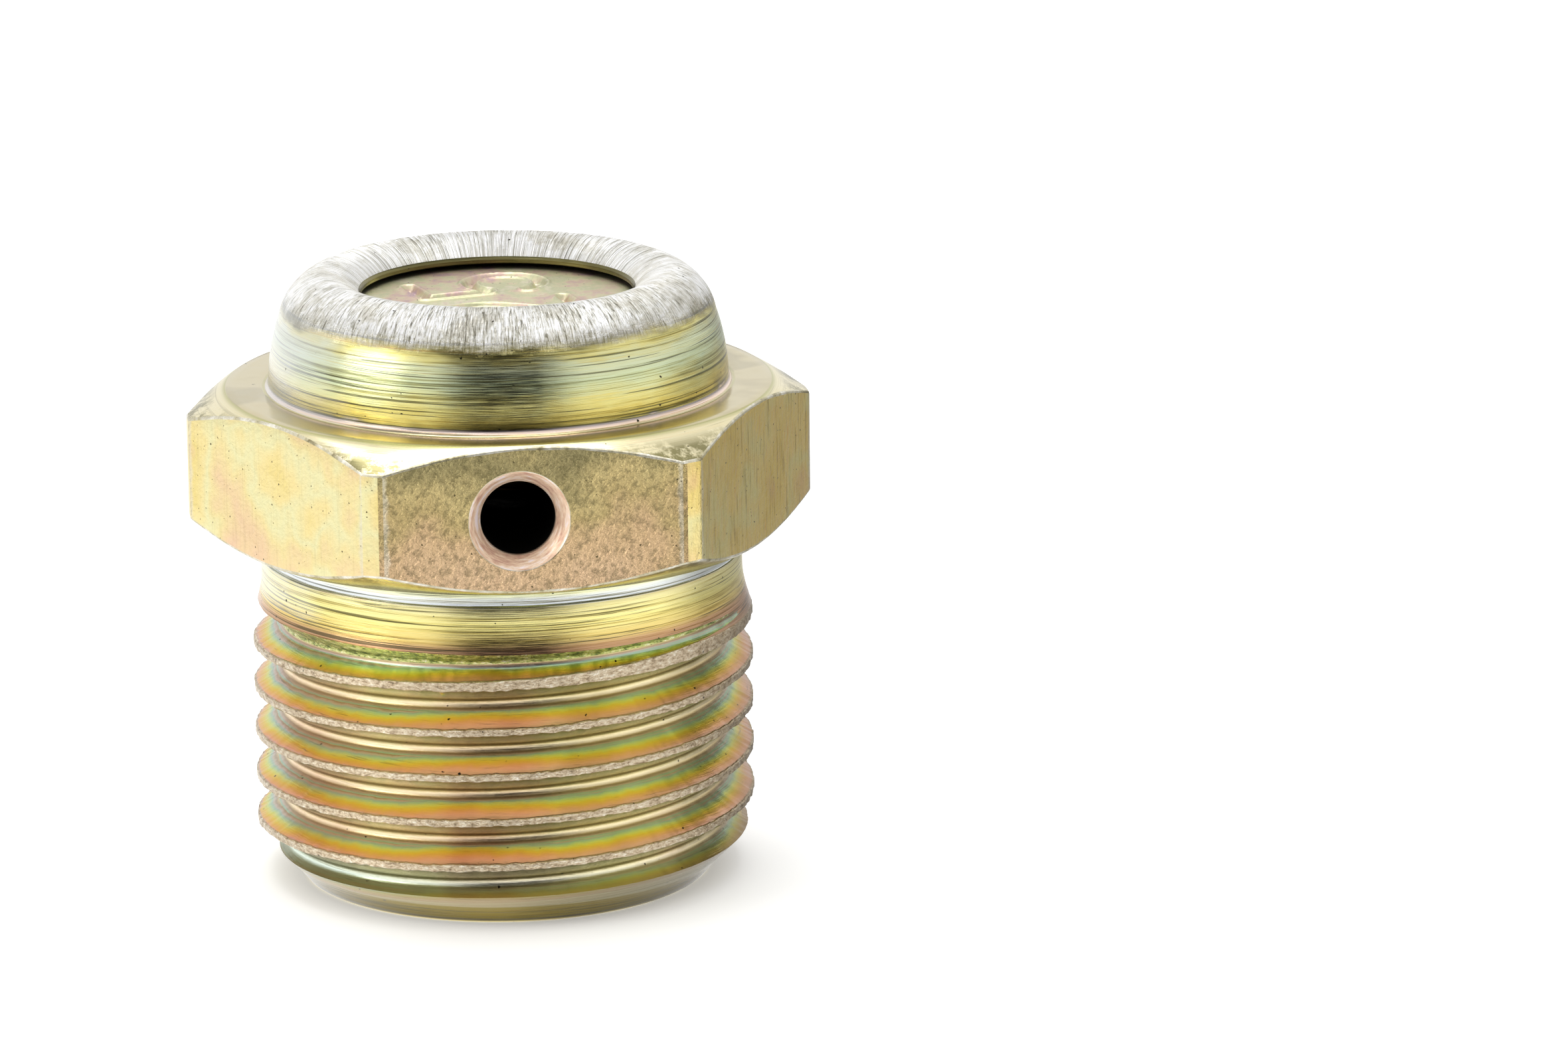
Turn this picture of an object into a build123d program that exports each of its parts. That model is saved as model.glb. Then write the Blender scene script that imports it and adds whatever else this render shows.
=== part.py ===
"""Screw-in pressure relief valve: a turned hexagon body with a male thread, a cross-drilled vent and a
collar rolled over a stamped closing disc. Inside, a spring holds a poppet with a rubber face on its seat.

Millimetres. Origin: centre of the threaded end's face. +Z runs up the valve's axis to the disc, and the
vent looks along -Y.
"""
import os
from math import atan2, cos, degrees, hypot, radians, sin, tan

from build123d import *

# ---- thread (M22 x 2, right hand) ----
thread_major_d = 21.84          # over the crests
thread_pitch = 2.0
thread_depth = 1.22             # crest to root
thread_crest_w = 0.26           # flat left on each crest
thread_flank_deg = 30.0         # each flank, from the plane across the axis
thread_start_z = -1.92          # a groove's middle on the vent side, in the air below the end face
thread_full_turns = 6.75        # turns at full depth from there up
runout_turn = 0.55              # share of a turn in which the groove climbs out of the shank
lead_in_r = 8.95                # radius of the end face
lead_in_cone_r = 9.45           # top of the shallow end cone
lead_in_cone_z = 0.65

# ---- shank and hexagon ----
shank_d = 21.0                  # plain shank between the thread and the hexagon
shank_swell_z = 12.3            # where the shank has swelled to the thread's diameter
shank_plain_z = 13.4            # where it has its own
neck_d = 20.4                   # undercut below the hexagon
neck_h = 0.87
hex_seat_z = 15.37              # underside of the hexagon
hex_h = 6.48
hex_af = 24.0                   # across flats
hex_corner_d = 27.18            # the corners are turned to this diameter
hex_face_d = 23.68              # round flat face left inside each chamfer
hex_chamfer_deg = 30.0

# ---- collar and rolled rim: diameters, and heights above the hexagon ----
collar_foot_d = 20.0
collar_mid_d = 19.76
collar_mid_h = 1.55
rim_bend_start_d = 19.0         # where the outer bend starts
rim_bend_start_h = 3.05
rim_bend_mid_d = 17.66
rim_bend_mid_h = 4.33
rim_crown_d = 15.2              # highest line of the rim
rim_crown_h = 5.0
rim_roll_mid_d = 13.3           # half-way down the inner roll
rim_roll_mid_h = 4.72
rim_opening_d = 11.8            # opening left over the disc
rim_lip_top_h = 4.1
rim_lip_under_h = 3.67          # underside of the lip, on the disc

# ---- bores and seat ----
inlet_d = 8.0
inlet_h = 5.0
inlet_chamfer = 0.5
orifice_d = 5.0
seat_z = 8.0                    # top of the seat land
seat_land_w = 0.8
seat_land_h = 0.6
chamber_d = 13.0
vent_d = 3.2
vent_offset = -0.6              # the hole is drilled this far beside the flat's middle
vent_sink_d = 4.3               # mouth of the countersink
vent_sink_deg = 45.0

# ---- closing disc and its stamped figures ----
disc_d = 14.9
disc_t = 2.0
disc_clearance = 0.05           # radial, round the disc
disc_edge_chamfer = 0.25
figure_h = 5.75
figure_stroke_w = 0.52
figure_depth = 0.22
figure_turn_deg = 104.0         # reading direction of the figures, anticlockwise from +X

# ---- poppet, seal and spring ----
lift = 1.25                     # travel of the poppet to its stop
lift_stop_clearance = 0.02
guide_clearance = 0.08          # radial, poppet flange in the chamber
guide_h = 3.0
guide_flat_af = 10.6            # four flats let the flow past the flange
head_d = 10.0
skirt_gap = 0.3                 # the skirt round the seal stays this far above the seat
seal_d = 8.0
seal_t = 1.5
seal_clearance = 0.02
stem_clearance = 0.25           # radial, stem inside the spring
stem_chamfer = 0.4
spring_wire_d = 1.3
spring_mean_d = 9.2
spring_coils = 5

# ---- cutting ----
cut_past = 1.0                  # how far a cutter reaches past the face that it opens
groove_past = 0.12              # the same for the thread's cutter, whose turns must not meet

# ---- places that follow ----
thread_r = thread_major_d / 2
thread_root_r = thread_r - thread_depth
flank_run = tan(radians(thread_flank_deg))      # axial run of a flank per unit of depth
lead_in_z = lead_in_cone_z + thread_r - lead_in_cone_r      # end of the 45 degree lead-in
hex_top_z = hex_seat_z + hex_h
hex_corner_r = hex_corner_d / 2
hex_chamfer_h = (hex_corner_d - hex_face_d) / 2 * tan(radians(hex_chamfer_deg))
vent_z = hex_seat_z + hex_h / 2
disc_top_z = hex_top_z + rim_lip_under_h
disc_under_z = disc_top_z - disc_t
pocket_r = disc_d / 2 + disc_clearance
chamber_floor_z = seat_z - seat_land_h
flange_under_z = seat_z + seal_t
flange_top_z = flange_under_z + guide_h
stem_top_z = disc_under_z - lift - lift_stop_clearance
stem_r = (spring_mean_d - spring_wire_d) / 2 - stem_clearance


def turned(*edges):
    """Solid of revolution about Z from a closed outline of edges drawn as (radius, height)."""
    return revolve(Plane.XZ * make_face(Wire(edges)), Axis.Z)


def run(*points):
    """Straight edges through points of (radius, height)."""
    return [Line(a, b) for a, b in zip(points, points[1:])]


def body_outline():
    """Outside of the turned blank, with the hexagon's stretch left at corner diameter."""
    foot = (collar_foot_d / 2, hex_top_z)
    bend = (rim_bend_start_d / 2, hex_top_z + rim_bend_start_h)
    crown = (rim_crown_d / 2, hex_top_z + rim_crown_h)
    lip = (rim_opening_d / 2, hex_top_z + rim_lip_top_h)
    lower = run(
        (0, 0), (lead_in_r, 0), (lead_in_cone_r, lead_in_cone_z), (thread_r, lead_in_z),
        (thread_r, shank_swell_z), (shank_d / 2, shank_plain_z), (shank_d / 2, hex_seat_z - neck_h),
        (neck_d / 2, hex_seat_z - neck_h), (neck_d / 2, hex_seat_z),
        (hex_corner_r, hex_seat_z), (hex_corner_r, hex_top_z), foot,
    )
    collar = ThreePointArc(foot, (collar_mid_d / 2, hex_top_z + collar_mid_h), bend)
    outer_bend = ThreePointArc(bend, (rim_bend_mid_d / 2, hex_top_z + rim_bend_mid_h), crown)
    inner_roll = ThreePointArc(crown, (rim_roll_mid_d / 2, hex_top_z + rim_roll_mid_h), lip)
    top = run(lip, (0, hex_top_z + rim_lip_top_h), (0, 0))
    return lower + [collar, outer_bend, inner_roll] + top


def hexagon_waste():
    """Everything between the corner diameter and the chamfered hexagon, to be cut away."""
    ring = Pos(0, 0, hex_seat_z) * extrude(Circle(hex_corner_r + cut_past), hex_h)
    bar = Pos(0, 0, hex_seat_z) * extrude(
        RegularPolygon(hex_af / 2, 6, major_radius=False), hex_h)
    face_r = hex_face_d / 2
    faced = turned(*run(
        (0, hex_seat_z), (face_r, hex_seat_z), (hex_corner_r, hex_seat_z + hex_chamfer_h),
        (hex_corner_r, hex_top_z - hex_chamfer_h), (face_r, hex_top_z), (0, hex_top_z),
        (0, hex_seat_z),
    ))
    return ring - (bar & faced)


def thread_groove():
    """The V groove along its helix: at full depth, and then climbing out of the shank."""
    root_half = (thread_pitch - thread_crest_w) / 2 - thread_depth * flank_run
    mouth_half = (thread_pitch - thread_crest_w) / 2 + groove_past * flank_run
    mouth_r = thread_r + groove_past
    groove = make_face(Polyline(
        (thread_root_r, -root_half), (mouth_r, -mouth_half), (mouth_r, mouth_half),
        (thread_root_r, root_half), close=True))

    def swept(face, helix_height, start_turns, cone_deg=0.0):
        path = Helix(thread_pitch, helix_height, thread_root_r, cone_angle=cone_deg)
        cutter = sweep(Plane.XZ * face, path, is_frenet=True)
        start_z = thread_start_z + thread_pitch * start_turns
        return Pos(0, 0, start_z) * Rot(0, 0, -90 + 360 * start_turns) * cutter

    full = swept(groove, thread_pitch * thread_full_turns, 0)
    climb_h = thread_pitch * runout_turn
    climb_deg = degrees(atan2(thread_depth + groove_past, climb_h))
    runout = swept(groove, climb_h, thread_full_turns, climb_deg)
    return full, runout


def body_bores():
    """Inlet, orifice, chamber with its seat land, disc pocket and the opening inside the rim."""
    land_r = orifice_d / 2 + seat_land_w
    above = hex_top_z + rim_crown_h + cut_past
    mouth_r = inlet_d / 2 + inlet_chamfer + cut_past
    return turned(*run(
        (0, -cut_past), (mouth_r, -cut_past), (inlet_d / 2, inlet_chamfer),
        (inlet_d / 2, inlet_h), (orifice_d / 2, inlet_h), (orifice_d / 2, seat_z), (land_r, seat_z),
        (land_r, chamber_floor_z), (chamber_d / 2, chamber_floor_z), (chamber_d / 2, disc_under_z),
        (pocket_r, disc_under_z), (pocket_r, disc_top_z), (rim_opening_d / 2, disc_top_z),
        (rim_opening_d / 2, above), (0, above), (0, -cut_past),
    ))


def vent_bore():
    """Cross hole from the -Y flat into the chamber, countersunk."""
    flat_y = -hex_af / 2
    bore = Cylinder(vent_d / 2, hex_af / 2, align=(Align.CENTER, Align.CENTER, Align.MIN))
    sink_h = (vent_sink_d - vent_d) / 2 / tan(radians(vent_sink_deg))
    sink = Cone(vent_sink_d / 2, vent_d / 2, sink_h, align=(Align.CENTER, Align.CENTER, Align.MIN))
    return Pos(vent_offset, flat_y, vent_z) * Rot(-90, 0, 0) * (bore + sink)


def valve_body():
    body = turned(*body_outline()) - hexagon_waste() - body_bores() - vent_bore()
    for cutter in thread_groove():
        body -= cutter
    return body


def stroke(points):
    """Flat band of the stroke width along a chain of points, round at both ends."""
    width = figure_stroke_w
    band = Pos(*points[0]) * Circle(width / 2)
    for a, b in zip(points, points[1:]):
        band += SlotCenterToCenter(hypot(b[0] - a[0], b[1] - a[1]), width, rotation=0).moved(
            Location(((a[0] + b[0]) / 2, (a[1] + b[1]) / 2, 0), (0, 0, Line(a, b).tangent_angle_at(0))))
    return band


def arc_points(centre, radius, start_deg, end_deg, steps):
    """Points along an arc of a figure."""
    turn = (end_deg - start_deg) / steps
    angles = [radians(start_deg + turn * i) for i in range(steps + 1)]
    return [(centre[0] + radius * cos(a), centre[1] + radius * sin(a)) for a in angles]


def figures():
    """The figures 2 and 5, half their height each side of the middle, in share of figure_h."""
    h = figure_h
    two_bend = arc_points((-0.45 * h, 0.26 * h), 0.27 * h, 165, -40, 10)
    two = two_bend + [(-0.72 * h, -0.43 * h), (-0.17 * h, -0.46 * h)]
    five_bowl = arc_points((0.43 * h, -0.22 * h), 0.27 * h, 130, -160, 12)
    five = [(0.60 * h, 0.49 * h), (0.20 * h, 0.49 * h), (0.20 * h, 0.0)]
    return stroke(two) + stroke(five) + stroke(five_bowl)


def closing_disc():
    blank = Cylinder(disc_d / 2, disc_t, align=(Align.CENTER, Align.CENTER, Align.MIN))
    blank = chamfer(blank.edges().filter_by(GeomType.CIRCLE), disc_edge_chamfer)
    blank = Pos(0, 0, disc_under_z) * blank
    stamp = extrude(figures(), figure_depth + cut_past)
    return blank - Pos(0, 0, disc_top_z - figure_depth) * Rot(0, 0, figure_turn_deg) * stamp


def poppet():
    """Turned head with a recess for the seal, a flatted guide flange and a long stem that stops the lift."""
    skirt_z = seat_z + skirt_gap
    guide_r = chamber_d / 2 - guide_clearance
    turned_piece = turned(*run(
        (0, flange_under_z), (seal_d / 2, flange_under_z), (seal_d / 2, skirt_z),
        (head_d / 2, skirt_z), (head_d / 2, flange_under_z), (guide_r, flange_under_z),
        (guide_r, flange_top_z), (stem_r, flange_top_z), (stem_r, stem_top_z - stem_chamfer),
        (stem_r - stem_chamfer, stem_top_z), (0, stem_top_z), (0, flange_under_z),
    ))
    flats = Pos(0, 0, flange_under_z) * extrude(
        Circle(chamber_d / 2) - Rectangle(guide_flat_af, guide_flat_af), guide_h)
    return turned_piece - flats


def seal():
    return Pos(0, 0, seat_z) * Cylinder(
        seal_d / 2 - seal_clearance, seal_t, align=(Align.CENTER, Align.CENTER, Align.MIN))


def spring():
    """Round wire, wound right hand, with both ends ground flat."""
    length = disc_under_z - flange_top_z
    path = Helix(length / spring_coils, length, spring_mean_d / 2)
    wire = sweep(Plane.XZ * Pos(spring_mean_d / 2, 0) * Circle(spring_wire_d / 2), path, is_frenet=True)
    ground = Cylinder(chamber_d / 2, length, align=(Align.CENTER, Align.CENTER, Align.MIN))
    return Pos(0, 0, flange_top_z) * (wire & ground)


os.makedirs("parts", exist_ok=True)
for name, make in {
    "valve_body": valve_body,
    "closing_disc": closing_disc,
    "valve_spring": spring,
    "poppet": poppet,
    "poppet_seal": seal,
}.items():
    export_step(make(), f"parts/{name}.step")
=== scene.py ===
"""Looks of a screw-in pressure relief valve: yellow chromated zinc on turned steel, its rolled rim bare."""
from math import acos, cos, pi, radians, sin, tan

import bmesh
import bpy
import numpy as np
from mathutils import Matrix, Vector, noise


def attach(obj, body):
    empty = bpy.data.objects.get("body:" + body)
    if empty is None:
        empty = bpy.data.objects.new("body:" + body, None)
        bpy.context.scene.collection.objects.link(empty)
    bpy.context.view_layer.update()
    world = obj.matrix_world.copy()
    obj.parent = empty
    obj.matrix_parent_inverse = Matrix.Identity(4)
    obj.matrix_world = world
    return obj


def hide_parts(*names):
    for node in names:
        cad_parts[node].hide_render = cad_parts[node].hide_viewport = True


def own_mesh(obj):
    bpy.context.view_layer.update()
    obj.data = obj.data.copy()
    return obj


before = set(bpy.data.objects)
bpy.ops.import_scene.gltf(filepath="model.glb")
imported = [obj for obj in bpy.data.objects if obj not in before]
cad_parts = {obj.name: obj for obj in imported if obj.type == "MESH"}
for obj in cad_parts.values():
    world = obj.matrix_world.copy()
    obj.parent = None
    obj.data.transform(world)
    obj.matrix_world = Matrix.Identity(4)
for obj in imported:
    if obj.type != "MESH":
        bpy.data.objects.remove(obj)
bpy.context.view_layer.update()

MM = 0.001

# ---- sizes in millimetres; the solid's own are as the part's source has them ----
THREAD_R = 10.92
THREAD_DEPTH = 1.22
THREAD_PITCH = 2.0
THREAD_CREST_W = 0.26
THREAD_START_Z = -1.92          # a groove's middle on the vent side
THREAD_FULL_TURNS = 6.75
RUNOUT_TURN = 0.55
RUNOUT_LEAN = 0.22              # the run-out's upper wall leans out, its root sinks
ROOT_ROUND_R = 0.22
GROOVE_PAST = 0.08
TEAR = 0.22                     # how far the crests' edges are torn, peak to peak
GROOVE_STEPS = 420.0            # mesh steps in a turn
BURR_UNDER_Z = 12.6             # crests have burrs up to here
TEARS_IN_A_TURN = 150.0
GROOVE_TOP_Z = 13.3             # the groove has run out below this
SHANK_FOOT_Z = 11.75            # uncut shank shows above this
RUNOUT_LINE_Z = 11.95           # the run-out lies above the helix through this height on the vent's side,
RUNOUT_LINE_TURN = -1.7         # and past this angle from it, in radians
PLAIN_FILM_Z = (2.35, 1.7)      # between these the first groove turns plain olive, with a painted turquoise highlight at its root
LEFT_HIGHLIGHT_FROM_Z = 12.9              # on the left side the round walls are painted paler, as a highlight, above this
END_FACE_R = 8.9
LEAD_IN = [(8.95, 0.04), (9.45, 0.65), (THREAD_R, 2.12)]        # end's edge, cone's edge, thread's foot
HEX_SEAT_Z = 15.37
HEX_TOP_Z = 21.85
HEX_AF = 24.0
HEX_CORNER_R = 13.59
HEX_FACE_R = 11.84
CHAMFER_SLOPE = tan(radians(30.0))
EDGE_WORN = 0.09                # how far the chamfers' edges are worn round
EDGE_UNEVEN = 0.035
SHANK_R = 10.5
NECK_R = 10.4
NECK_Z = 14.5
RIM_CROWN_Z = HEX_TOP_Z + 5.0
BARE_FROM_Z = 25.15             # the film gives way to bare steel from here
BARE_FULL_Z = 26.1              # up to here
RIM_OPENING_R = 5.9
LIP_TOP_Z = HEX_TOP_Z + 4.1
DISC_TOP_Z = HEX_TOP_Z + 3.67
LIP_GAP = 0.2                   # the rolled lip's edge stands this far off the disc
DISC_T = 2.0
DISC_UNDER_Z = DISC_TOP_Z - DISC_T
DISC_BREAK = 0.25               # the disc's edges are broken by this
DISC_R = 7.45
POCKET_R = 7.5
CHAMBER_R = 6.5
CHAMBER_FLOOR_Z = 7.4
SEAT_Z = 8.0
SEAT_LAND_R = 3.3
ORIFICE_R = 2.5
INLET_R = 4.0
INLET_H = 5.0
INLET_CHAMFER = 0.5
VENT_R = 1.6
VENT_SINK_R = 2.15
VENT_X = -0.6
VENT_SIDE_Y = -6.0              # the vent's wall lies in front of this
VENT_INNER_Y = -5.0             # its cutter ends in the chamber
VENT_Z = (HEX_SEAT_Z + HEX_TOP_Z) / 2
SPRING_FOOT_Z = 12.5
SPRING_WIRE_R = 0.65
SPRING_MEAN_R = 4.6
SPRING_COILS = 5.0
FIGURE_H = 5.75
FIGURE_STROKE_W = 0.52
FIGURE_DEPTH = 0.22
FIGURE_LIP_H = 0.09             # metal pushed up along a figure
FIGURE_TURN = radians(104.0)

# ---- outlines of the turned body, as (radius, height) ----
SHANK_LINE = [
    (THREAD_R, 11.6), (10.86, 11.8), (10.8, 12.0), (10.74, 12.2), (10.68, 12.4), (10.63, 12.6), (10.59, 12.8),
    (10.55, 13.0), (10.525, 13.2), (10.508, 13.4), (SHANK_R, 13.6)]
NECK_LINE = [                   # a fine step, the neck's wall, and a small fillet under the hexagon
    (SHANK_R, 13.9), (SHANK_R, NECK_Z - 0.1), (10.49, NECK_Z - 0.07), (10.42, NECK_Z - 0.05),
    (NECK_R, NECK_Z - 0.02), (NECK_R, 14.8), (NECK_R, 15.15), (NECK_R + 0.03, 15.28),
    (NECK_R + 0.12, HEX_SEAT_Z)]
BEAD_LINE = [                   # a fine bead round the collar's foot
    (10.24, HEX_TOP_Z - 0.02), (10.18, HEX_TOP_Z - 0.02), (10.14, HEX_TOP_Z + 0.01),
    (10.03, HEX_TOP_Z + 0.12)]
BEAD_R = 10.3
COLLAR_FOOT = (10.0, HEX_TOP_Z + 0.17)
COLLAR_MIDDLE = (9.88, HEX_TOP_Z + 1.55)
RIM_BEND = (9.5, HEX_TOP_Z + 3.05)
RIM_BEND_MIDDLE = (8.83, HEX_TOP_Z + 4.33)
RIM_CROWN = (7.6, RIM_CROWN_Z)
RIM_ROLL_MIDDLE = (6.65, HEX_TOP_Z + 4.72)
LIP_LINE = [                    # the rolled lip's inner edge, down to the disc
    (RIM_OPENING_R, LIP_TOP_Z - 0.05), (RIM_OPENING_R, DISC_TOP_Z + LIP_GAP + 0.04),
    (RIM_OPENING_R + 0.04, DISC_TOP_Z + LIP_GAP), (RIM_OPENING_R + 0.8, DISC_TOP_Z + 0.05)]

# ---- camera, in millimetres and radians ----
CAMERA_PLACE = (-38.24, -333.01, 102.56)
CAMERA_TURN = radians(8.66)     # the vent's flat looks this far to the camera's right
CAMERA_PITCH = radians(14.58)
CAMERA_ROLL = radians(0.53)
FOCAL_PX = 11938.0
IMAGE_W_PX = 2361.0
SENSOR_W = 36.0

# ---- lights, in metres and watts ----
TENT_STRENGTH = 1.5
LAMPS = (("overhead", (-0.02, 0.12, 0.5), 0.34, 1.1), ("left", (-0.4, -0.1, 0.22), 0.25, 0.5))
LAMPS_AIM = (0, 0, 0.012)


# ======== small helpers ========
def linear(code):
    """An sRGB hex colour as linear RGBA."""
    channels = [int(code[i:i + 2], 16) / 255 for i in (1, 3, 5)]
    return tuple(c / 12.92 if c <= 0.04045 else ((c + 0.055) / 1.055) ** 2.4 for c in channels) + (1.0,)


def add(tree, kind, inputs=(), stops=None, **settings):
    """Adds a node with its settings, its ramp's stops, and its inputs by name or in order.

    An input is a value, a hex colour, a socket, or a node, which links its first output.
    """
    made = tree.nodes.new(kind)
    for name, value in settings.items():
        setattr(made, name, value)
    if stops:
        ramp = made.color_ramp
        while len(ramp.elements) < len(stops):
            ramp.elements.new(0.5)
        for element, (place, colour) in zip(ramp.elements, stops):
            element.position = place
            element.color = linear(colour) if isinstance(colour, str) else (colour,) * 3 + (1.0,)
    for socket, value in inputs.items() if isinstance(inputs, dict) else enumerate(inputs):
        if isinstance(value, bpy.types.Node):
            value = value.outputs[0]
        if isinstance(value, bpy.types.NodeSocket):
            tree.links.new(value, made.inputs[socket])
        else:
            made.inputs[socket].default_value = linear(value) if isinstance(value, str) else value
    return made


def new_material(name):
    material = bpy.data.materials.new(name)
    material.use_nodes = True
    material.node_tree.nodes.clear()
    return material, material.node_tree


def mesh_object(name, vertices, faces):
    mesh = bpy.data.meshes.new(name)
    mesh.from_pydata([tuple(v) for v in vertices], [], faces)
    mesh.update()
    made = bpy.data.objects.new(name, mesh)
    bpy.context.scene.collection.objects.link(made)
    return made


def outward(piece):
    """Merges doubled points and turns every face outwards."""
    work = bmesh.new()
    work.from_mesh(piece.data)
    bmesh.ops.remove_doubles(work, verts=work.verts, dist=1e-7)
    bmesh.ops.recalc_face_normals(work, faces=work.faces)
    work.to_mesh(piece.data)
    work.free()
    return piece


def smooth_by_angle(piece, degrees):
    work = bmesh.new()
    work.from_mesh(piece.data)
    for face in work.faces:
        face.smooth = True
    for edge in work.edges:
        edge.smooth = edge.is_manifold and edge.calc_face_angle(0.0) < radians(degrees)
    work.to_mesh(piece.data)
    work.free()
    return piece


def cut(piece, cutter):
    """Cuts a closed mesh from the piece and removes the cutter."""
    boolean = piece.modifiers.new("cut", "BOOLEAN")
    boolean.operation = "DIFFERENCE"
    boolean.solver = "EXACT"
    boolean.object = cutter
    evaluated = piece.evaluated_get(bpy.context.evaluated_depsgraph_get())
    result = bpy.data.meshes.new_from_object(evaluated)
    piece.modifiers.clear()
    old = piece.data
    piece.data = result
    result.name = piece.name
    bpy.data.meshes.remove(old)
    bpy.data.objects.remove(cutter)
    return piece


def arc_through(a, b, c, steps):
    """Points from a to c on the circle through a, b and c, a left out."""
    ax, ay, bx, by, cx, cy = *a, *b, *c
    d = 2 * (ax * (by - cy) + bx * (cy - ay) + cx * (ay - by))
    a2, b2, c2 = ax * ax + ay * ay, bx * bx + by * by, cx * cx + cy * cy
    ox = (a2 * (by - cy) + b2 * (cy - ay) + c2 * (ay - by)) / d
    oy = (a2 * (cx - bx) + b2 * (ax - cx) + c2 * (bx - ax)) / d
    start, end = (np.arctan2(p[1] - oy, p[0] - ox) for p in (a, c))
    turn = (end - start + pi) % (2 * pi) - pi
    radius = np.hypot(ax - ox, ay - oy)
    angles = start + turn * np.arange(1, steps + 1) / steps
    return [(ox + radius * cos(t), oy + radius * sin(t)) for t in angles]


def between(a, b, steps):
    """Points from a to b, a left out."""
    return [(a[0] + (b[0] - a[0]) * i / steps, a[1] + (b[1] - a[1]) * i / steps) for i in range(1, steps + 1)]


# ======== the turned body ========
def column_angles():
    """Angles of the mesh columns from -Y towards +X, with one on every edge of the hexagon's sides."""
    half = acos(HEX_AF / 2 / HEX_CORNER_R)
    side = np.linspace(-half, half, 61)[:-1]
    corner = np.linspace(half, radians(60) - half, 7)[:-1]
    sextant = np.concatenate([side, corner])
    return np.concatenate([sextant + radians(60) * k for k in range(6)])


def hexagon_rows(angles):
    """Rows up the hexagon: under face, lower chamfer, side, upper chamfer. Each is (radii, heights)."""
    from_side = (angles + radians(30)) % radians(60) - radians(30)
    radius = np.minimum(HEX_AF / 2 / np.cos(from_side), HEX_CORNER_R)
    drop = (radius - HEX_FACE_R) * CHAMFER_SLOPE
    worn = np.array([EDGE_UNEVEN * noise.noise(Vector((a * 9, 0, 0))) for a in angles]) + EDGE_WORN
    along = worn * cos(radians(30))
    low, high = HEX_SEAT_Z + drop, HEX_TOP_Z - drop
    ones = np.ones_like(angles)
    lower = [(HEX_FACE_R * ones, HEX_SEAT_Z * ones)]
    upper = []
    for share in (0.5, 1.0):
        lower.append((HEX_FACE_R + (radius - along - HEX_FACE_R) * share,
                      HEX_SEAT_Z + (drop - along * CHAMFER_SLOPE) * share))
    lower.append((radius - 0.2 * worn, low + 0.12 * worn))
    lower.append((radius, low + worn))
    sides = [(radius, low + worn + (high - low - 2 * worn) * share) for share in np.linspace(0, 1, 9)[1:-1]]
    upper.append((radius, high - worn))
    upper.append((radius - 0.2 * worn, high - 0.12 * worn))
    for share in (1.0, 0.5):
        upper.append((HEX_FACE_R + (radius - along - HEX_FACE_R) * share,
                      HEX_TOP_Z - (drop - along * CHAMFER_SLOPE) * share))
    upper.append((HEX_FACE_R * ones, HEX_TOP_Z * ones))
    return lower + sides + upper


def blank_rows(angles):
    """The body's closed outline as rows of (radii, heights): from the inlet's mouth out, up and back in."""
    ones = np.ones_like(angles)
    mouth = (INLET_R + INLET_CHAMFER, 0.0)
    end_edge, cone_edge, thread_foot = LEAD_IN
    lower = [mouth] + between(mouth, (END_FACE_R, 0.0), 3)
    lower += [end_edge] + between(end_edge, cone_edge, 3) + between(cone_edge, thread_foot, 6)
    lower += between(thread_foot, SHANK_LINE[0], 12) + SHANK_LINE[1:] + NECK_LINE
    upper = between((HEX_FACE_R, HEX_TOP_Z), (BEAD_R, HEX_TOP_Z), 4) + BEAD_LINE + [COLLAR_FOOT]
    upper += arc_through(COLLAR_FOOT, COLLAR_MIDDLE, RIM_BEND, 14)
    upper += arc_through(RIM_BEND, RIM_BEND_MIDDLE, RIM_CROWN, 16)
    upper += arc_through(RIM_CROWN, RIM_ROLL_MIDDLE, (RIM_OPENING_R + 0.06, LIP_TOP_Z + 0.03), 12)
    inside = [(POCKET_R, DISC_TOP_Z), (POCKET_R, DISC_UNDER_Z), (CHAMBER_R, DISC_UNDER_Z)]
    inside += between(inside[-1], (CHAMBER_R, CHAMBER_FLOOR_Z), 4)
    inside += [(SEAT_LAND_R, CHAMBER_FLOOR_Z), (SEAT_LAND_R, SEAT_Z), (ORIFICE_R, SEAT_Z),
               (ORIFICE_R, INLET_H), (INLET_R, INLET_H), (INLET_R, INLET_CHAMFER)]
    rows = [(r * ones, z * ones) for r, z in lower] + hexagon_rows(angles)
    return rows + [(r * ones, z * ones) for r, z in upper + LIP_LINE + inside]


def turned_blank():
    angles = column_angles()
    rows = blank_rows(angles)
    n, m = len(angles), len(rows)
    vertices = [(r * sin(a) * MM, -r * cos(a) * MM, z * MM)
                for radii, heights in rows for r, z, a in zip(radii, heights, angles)]
    faces = [(i * n + j, i * n + (j + 1) % n, (i + 1) % m * n + (j + 1) % n, (i + 1) % m * n + j)
             for i in range(m) for j in range(n)]
    return outward(mesh_object("turned_body", vertices, faces))


def new_tree(name, sizes):
    """A geometry nodes tree with a named input for each size; returns it and the inputs' sockets."""
    tree = bpy.data.node_groups.new(name, "GeometryNodeTree")
    for size, value in sizes.items():
        socket = tree.interface.new_socket(size, in_out="INPUT", socket_type="NodeSocketFloat")
        socket.default_value = value
    tree.interface.new_socket("Geometry", in_out="OUTPUT", socket_type="NodeSocketGeometry")
    return tree, add(tree, "NodeGroupInput").outputs


def finish_tree(tree, geometry, inputs):
    """Ends a tree in real geometry with a material."""
    real = add(tree, "GeometryNodeRealizeInstances", [geometry])
    done = add(tree, "GeometryNodeSetMaterial", {"Geometry": real, **inputs})
    add(tree, "NodeGroupOutput", [done])
    return tree


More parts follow.
